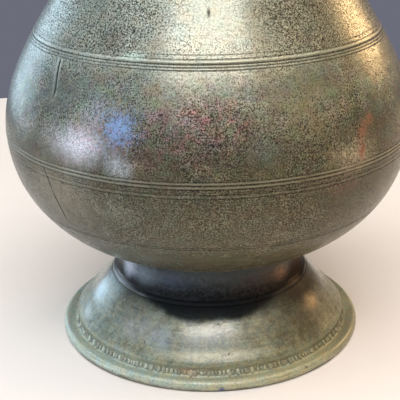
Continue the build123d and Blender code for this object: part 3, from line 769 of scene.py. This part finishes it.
footFinish = dict(
    metallic=0.12, specular=0.22, coat=1, coatRoughness=0.27, bump=0.3, wander=9,
    tones=[dict(between=(24, 20.5), colour=(0.92, 0.93, 0.92), coat=0.5),
           # the next two: painted shade of the belly on the upper dome and the stem, over their dark
           # patina; it reaches lower at the front than at the sides
           dict(between=(28, 37), colour=(0.11, 0.155, 0.23), coat=0.1, sideRise=3),
           dict(between=(29.2, 33.2), colour=(0.12, 0.15, 0.2), coat=0, sideRise=8.5,
                until=(53, 42), dull=0.4),
           dict(between=(11.4, 8), colour=(1.62, 1.63, 1.76)),
           dict(between=(3, 0.5), share=0.8, colour=(0.07, 0.066, 0.035), mode="MIX")],
    cover=dict(between=(15, 9), least=0.5, most=0.66),
    dull=dict(between=(26.5, 23.5), least=0.21, more=0.23),
    patinaAndPaintedLampTint=dict(reach=70, wander=30, left=(0.95, 1.03, 1.02), right=(0.96, 0.87, 0.61)),
    layers={"Ground": (0.145, 0.152, 0.13), "Film": (0.285, 0.29, 0.24), "Bloom": (0.42, 0.42, 0.34),
            "Dirt": (0.04, 0.034, 0.022), "Bare": (0.54, 0.53, 0.45), "Cool": (0.88, 1, 1.06),
            "Warm": (1.08, 1, 0.86), "Hue Range": 0.22, "Mottling": 0.8, "Pale Specks": 0.22,
            "Dark Specks": 0.34, "Speckle Size": 0.9, "Blotch Size": 24, "Streak": 0.5, "Seed": 2})
maskFinish = dict(
    metallic=0.4, specular=0.4, coat=0.3, coatRoughness=0.3, bump=0.4,
    layers={"Ground": (0.08, 0.072, 0.046), "Film": (0.155, 0.15, 0.105), "Bloom": (0.34, 0.37, 0.3),
            "Pale Specks": 0.55, "Dark Specks": 0.6, "Speckle Size": 0.9, "Blotch Size": 18,
            "Streak": 0, "Seed": 5})
ringFinish = dict(
    metallic=0.5, specular=0.4, coat=0.3, coatRoughness=0.28, bump=0.35,
    layers={"Ground": (0.09, 0.078, 0.048), "Film": (0.165, 0.15, 0.1), "Bloom": (0.33, 0.345, 0.27),
            "Pale Specks": 0.5, "Dark Specks": 0.5, "Speckle Size": 0.9, "Blotch Size": 14,
            "Streak": 0, "Seed": 8})
rivetFinish = dict(
    metallic=0.2, specular=0.3, coat=0.2, coatRoughness=0.35, bump=0.5,
    layers={"Ground": (0.07, 0.062, 0.04), "Film": (0.13, 0.13, 0.09), "Bloom": (0.28, 0.31, 0.25),
            "Pale Specks": 0.5, "Dark Specks": 0.5, "Speckle Size": 1.2, "Blotch Size": 12,
            "Streak": 0, "Seed": 11})
solderFinish = dict(
    metallic=0.3, specular=0.3, coat=0.1, coatRoughness=0.4, bump=0.5,
    layers={"Ground": (0.12, 0.12, 0.115), "Film": (0.2, 0.2, 0.19), "Bloom": (0.36, 0.36, 0.33),
            "Pale Specks": 0.4, "Dark Specks": 0.4, "Speckle Size": 1, "Blotch Size": 9,
            "Streak": 0, "Seed": 14})
bodyBronze = bronzeMaterial("bodyBronze", bodyFinish, bellyPatches)
footBronze = bronzeMaterial("footBronze", footFinish, footPatches)
maskBronze = bronzeMaterial("maskBronze", maskFinish)
ringBronze = bronzeMaterial("ringBronze", ringFinish, shaped=False)
rivetBronze = bronzeMaterial("rivetBronze", rivetFinish, shaped=False)
greySolder = bronzeMaterial("greySolder", solderFinish, shaped=False)
print("finishes ready")


# Body and foot

shellTree = turnedShellTree()
columnTurns = columnObject()
scene.collection.objects.link(columnTurns)
vesselBody = grow("vesselBody", lineMesh("bodyLine", bodyRows()), shellTree, {
    "Columns": columnTurns, "Wobble": 0.5 * mm, "Wobble Size": 60 * mm, "Seam Height": 0.2 * mm,
    "Seed": 1.0, "Material": bodyBronze})
footShell = grow("footShell", lineMesh("footLine", footRows()), shellTree, {
    "Columns": columnTurns, "Wobble": 0.3 * mm, "Wobble Size": 45 * mm, "Seam Height": 0.0,
    "Seed": 3.0, "Material": footBronze})
for piece in (vesselBody, footShell):
    faceOutwards(piece)
bpy.data.objects.remove(columnTurns)
print("body and foot turned:", len(vesselBody.data.polygons), len(footShell.data.polygons), "faces")


# Rope band round the foot: slanted beads in the groove above the rim

ropeBand = dict(count=226, slant=9.0, length=1.5, width=0.84, height=0.28, unevenness=0.62, sink=0.25,
                drop=0.1, wear=0.3, grime=0.8, stepPlay=0.6, slantPlay=0.5, sizePlay=0.6, sides=4, seed=4)


def ropeTree():
    tree, given = newTree("ropeBeads", "GeometryNodeTree", {
        "Geometry": "Geometry", "Count": "Int", "Radius": "Float", "Level": "Float", "Slant": "Float",
        "Lean": "Float", "Bead Size": "Vector", "Unevenness": "Float", "Wear": "Float", "Seed": "Int",
        "Material": "Material"}, {"Beads": "Geometry"})
    r, count, radius, seed = ropeBand, given["Count"], given["Radius"], given["Seed"]
    index = put(tree, "GeometryNodeInputIndex")
    jitter = put(tree, "FunctionNodeRandomValue", {"Seed": seed, "Min": (-1, -1, -1), "Max": (1, 1, 1)},
                 data_type="FLOAT_VECTOR")
    stepShake, slantShake, sizeShake = splitXyz(vectorCalc("SCALE", jitter, given["Unevenness"]))
    turn = (index + stepShake * r["stepPlay"]) * (2 * math.pi / count)
    place = joinXyz(tree, calc("COSINE", turn) * radius, calc("SINE", turn) * radius, given["Level"])
    points = put(tree, "GeometryNodePoints", {"Count": count, "Position": place})

    # one bead: a block whose corners are drawn in until its edges are round
    divisions = {"Vertices " + side: r["sides"] for side in "XYZ"}
    block = put(tree, "GeometryNodeMeshCube", {"Size": (2, 2, 2), **divisions})
    corner = put(tree, "GeometryNodeInputPosition")
    squared = vectorCalc("MULTIPLY", corner, corner)
    inward = calc("POWER", vectorCalc("DOT_PRODUCT", squared, squared), -0.25)
    bead = through(block, "SetPosition", {"Position": vectorCalc("SCALE", corner, inward)})

    tilt = joinXyz(tree, given["Slant"] + slantShake * r["slantPlay"], given["Lean"], turn)
    size = vectorCalc("SCALE", given["Bead Size"], sizeShake * r["sizePlay"] + 1.0)
    beads = put(tree, "GeometryNodeInstanceOnPoints",
                {"Points": points, "Instance": bead, "Rotation": tilt, "Scale": size})
    beads = stored(through(beads, "SetShadeSmooth"), "rise", given["Wear"], "INSTANCE")
    soilSeed = wholeNumber("ADD", seed, 1)
    soil = put(tree, "FunctionNodeRandomValue", {"Seed": soilSeed}, "Value", data_type="FLOAT")
    beads = stored(beads, "cavity", soil * r["grime"], "INSTANCE")
    return finishTree(beads, given["Material"])


def makeRope():
    s, r = footShape, ropeBand
    fall = r["drop"] / math.hypot(s["ropeWidth"], s["ropeRise"])
    ropeRadius = s["footRadius"] - s["rimWidth"] - s["ropeWidth"] * (0.5 - fall) - r["sink"]
    ropeLevel = s["rimHeight"] - s["rimDip"] + s["ropeRise"] * (0.5 - fall)
    return grow("ropeBeads", bpy.data.meshes.new("ropeStart"), ropeTree(), {
        "Count": r["count"], "Radius": ropeRadius * mm, "Level": ropeLevel * mm,
        "Slant": math.radians(r["slant"]), "Lean": -math.atan2(s["ropeWidth"], s["ropeRise"]),
        "Bead Size": (r["height"] * mm, r["width"] * mm, r["length"] * mm),
        "Unevenness": r["unevenness"], "Wear": r["wear"], "Seed": r["seed"], "Material": footBronze})


ropeBeads = makeRope()
print("rope band made:", len(ropeBeads.data.polygons), "faces")


# Masks: the cast form softened, with worn high points and dark hollows

maskCast = dict(voxel=0.42, softening=3, softenShare=0.5, spread=14, gain=0.55)


def softenedMask(name, node):
    work = bmesh.new()
    work.from_mesh(frame["nodes"][node].data)
    bmesh.ops.remove_doubles(work, verts=work.verts, dist=weldDistance)
    mesh = bpy.data.meshes.new(name)
    work.to_mesh(mesh)
    work.free()
    piece = linked(name, mesh)
    remesh = piece.modifiers.new("cast", "REMESH")
    remesh.mode = "VOXEL"
    remesh.voxel_size = maskCast["voxel"] * mm
    soften = piece.modifiers.new("soften", "SMOOTH")
    soften.iterations = maskCast["softening"]
    soften.factor = maskCast["softenShare"]
    final = settled(piece)
    piece.modifiers.clear()
    piece.data = final
    markRelief(final)
    final.materials.clear()
    final.materials.append(maskBronze)
    final.shade_smooth()
    return piece


def markRelief(mesh):  # compares each vertex with its smoothed place: out is a high point, in a hollow
    count = len(mesh.vertices)
    places = np.zeros(count * 3)
    mesh.vertices.foreach_get("co", places)
    places = places.reshape(-1, 3)
    edges = np.zeros(len(mesh.edges) * 2, int)
    mesh.edges.foreach_get("vertices", edges)
    edges = edges.reshape(-1, 2)
    degree = np.bincount(edges.ravel(), minlength=count)[:, None]
    smoothed = places.copy()
    for _ in range(maskCast["spread"]):
        total = np.zeros_like(smoothed)
        np.add.at(total, edges[:, 0], smoothed[edges[:, 1]])
        np.add.at(total, edges[:, 1], smoothed[edges[:, 0]])
        smoothed = total / degree
    normals = np.zeros(count * 3)
    mesh.vertex_normals.foreach_get("vector", normals)
    height = ((places - smoothed) * normals.reshape(-1, 3)).sum(axis=1) / mm
    for name, value in (("rise", height), ("cavity", -height)):
        mark(mesh, name, np.clip(value / maskCast["gain"], 0, 1))


masks = {side: softenedMask(side + "Mask", side + "_mask") for side in ("right", "left")}
print("masks softened:", len(masks["right"].data.polygons), "faces each")


# Rings: round wire, a little thinner where it hangs in the loop

ringWire = dict(around=132, across=22, unevenness=0.1, grain=160.0, grainTurn=0.6,
                wear=0.16, wearReach=0.16)


def hangingRing(name, side):
    w = ringWire
    around, across = w["around"], w["across"]
    low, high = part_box(side + "_ring")
    joint = next(item for item in frame["joints"] if item["child"] == side + "_ring")
    centre = (low + high) / 2
    down = centre - Vector(joint["pos_m"])
    radius = down.length
    wire = (high.y - low.y) / 2 - radius
    down.normalize()
    sideways = Vector((0, 1, 0))
    facing = down.cross(sideways)
    verts = []
    faces = []
    for i in range(around):
        turn = 2 * math.pi * i / around
        out = down * -math.cos(turn) + sideways * math.sin(turn)
        middle = centre + out * radius
        worn = math.exp(-(math.sin(turn / 2) / w["wearReach"]) ** 2) * w["wear"]
        shift = ((i + 1) % around - i) * across
        for j in range(across):
            roll = 2 * math.pi * j / across
            spread = out * math.cos(roll) + facing * math.sin(roll)
            rough = noise.noise(middle * w["grain"] + spread * w["grainTurn"]) * w["unevenness"]
            verts.append(middle + spread * (wire - (abs(rough) + worn) * mm))
            a = i * across + j
            b = i * across + (j + 1) % across
            faces.append((a, a + shift, b + shift, b))
    mesh = bpy.data.meshes.new(name)
    mesh.from_pydata(verts, [], faces)
    mesh.materials.append(ringBronze)
    piece = linked(name, mesh)
    faceOutwards(piece)
    mesh.shade_smooth()
    return piece


rings = {side: hangingRing(side + "Ring", side) for side in ("right", "left")}
print("rings made")


# What each piece rides on and stands for

for piece, node, slot in ((vesselBody, "vessel_body", "body_bronze"), (footShell, "foot", "foot_bronze")):
    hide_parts(node)
    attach(piece, "vessel")
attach(ropeBeads, "vessel")
for side in ("right", "left"):
    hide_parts(side + "_mask")
    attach(masks[side], "vessel")
    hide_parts(side + "_ring")
    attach(rings[side], side + "_ring")
carriedOver = dict(solder_ring=greySolder, floor_spacers=rivetBronze,
                   right_mask_rivets=rivetBronze, left_mask_rivets=rivetBronze)
for node, material in carriedOver.items():
    for holder in frame["nodes"][node].material_slots:
        holder.material = material
print("pieces ride on their bodies")


# Floor, backdrop, light and camera

floorLook = dict(colour=(0.87, 0.81, 0.775), roughness=0.85, specular=0.2, grain=14.0, least=0.97,
                 cloud=0.06, farLeft=0.53, farRight=0.64, halfWidth=0.25, depth=2.2, breadth=2.4)
wallLook = dict(colour=(0.150, 0.153, 0.198), fill=(0.10, 0.10, 0.105))
lampAim = Vector((0, 0, 0.13))
lamps = dict(  # place, width and height, power, colour
    key=((0, -0.82, 1.16), (1, 0.5), 13.2, (1, 0.98, 0.96)),
    ceiling=((0, 0.25, 2), (2.2, 2.2), 9, (1, 0.98, 0.95)),
    leftSky=((-0.72, -0.19, 1.40), (1, 0.9), 7.4, (0.9, 0.98, 1)),
    rightSky=((0.72, -0.24, 1.40), (1, 0.9), 7.6, (1, 0.89, 0.74)),
    window=((-1.06, 0.86, 0.35), (0.65, 0.75), 4.3, (0.62, 0.85, 1)),
    lamp=((1, 0.61, 0.53), (0.44, 0.34), 4.5, (1, 0.66, 0.32)),
    sheet=((-1.3, -0.49, 0.16), (0.52, 0.25), 2.8, (0.74, 0.87, 1)),
    sill=((-1.12, 0.45, 0.06), (0.5, 0.1), 0.63, (0.85, 0.93, 1)),
    leftWall=((-1.4, -0.357, 0.376), (1, 0.55), 2.6, (0.82, 0.92, 1)),
)
view = dict(place=(0.0, -0.5805, 0.3078), pitch=21.39, yaw=0.536, roll=-0.83,
            lens=90.0, sensor=36.0, near=0.01)


def floorMaterial():
    f = floorLook
    material, coordinates = newMaterial("paleFloor")
    shade = noiseAt(coordinates, f["grain"], 3.0) * f["cloud"] + f["least"]
    return dress(material, {"Base Color": blendColour(1.0, f["colour"], shade, "MULTIPLY"),
                            "Roughness": f["roughness"], "Specular IOR Level": f["specular"]})


def makeFloor():  # its far edge slopes a little, as seen from the camera
    f = floorLook
    slope = (f["farRight"] - f["farLeft"]) / (2 * f["halfWidth"])
    middle = (f["farRight"] + f["farLeft"]) / 2
    half = f["breadth"]
    near = [(-half, -f["depth"], 0), (half, -f["depth"], 0)]
    far = [(half, middle + slope * half, 0), (-half, middle - slope * half, 0)]
    mesh = bpy.data.meshes.new("floor")
    mesh.from_pydata(near + far, [], [(0, 1, 2, 3)])
    mesh.materials.append(floorMaterial())
    floor = linked("floor", mesh)


def lightWorld():  # the wall's colour where it is seen or mirrored, an even fill elsewhere
    world = bpy.data.worlds.new("room")
    scene.world = world
    world.use_nodes = True
    tree = world.node_tree
    tree.nodes.clear()
    path = addNode(tree, "ShaderNodeLightPath").outputs
    direct, mirrored, passing = (
        Flow(tree, path[name]) for name in ("Is Camera Ray", "Is Glossy Ray", "Is Transmission Ray"))
    seen = calc("MAXIMUM", direct, calc("MAXIMUM", mirrored, passing))
    colour = blendColour(seen, wallLook["fill"], wallLook["colour"])
    background = put(tree, "ShaderNodeBackground", {"Color": colour})
    addNode(tree, "ShaderNodeOutputWorld", {"Surface": background})


def addLamp(name, place, size, power, colour):
    data = bpy.data.lights.new(name, "AREA")
    data.shape = "RECTANGLE"
    data.size, data.size_y = size
    data.energy = power
    data.color = colour
    lamp = linked(name, data)
    lamp.location = place
    lamp.rotation_euler = (lampAim - lamp.location).to_track_quat("-Z", "Y").to_euler()


def addCamera():
    data = bpy.data.cameras.new("view")
    data.sensor_width = view["sensor"]
    data.lens = view["lens"]
    data.clip_start = view["near"]
    camera = linked("view", data)
    camera.location = view["place"]
    turn = Vector((90.0 - view["pitch"], 0.0, view["yaw"]))
    facing = Euler([math.radians(angle) for angle in turn]).to_matrix()
    facing = facing @ Matrix.Rotation(math.radians(view["roll"]), 3, "Z")
    camera.rotation_euler = facing.to_euler()
    scene.camera = camera


makeFloor()
lightWorld()
for name, look in lamps.items():
    addLamp(name, *look)
addCamera()
scene.view_settings.view_transform = "Standard"
print("floor, light and camera ready")
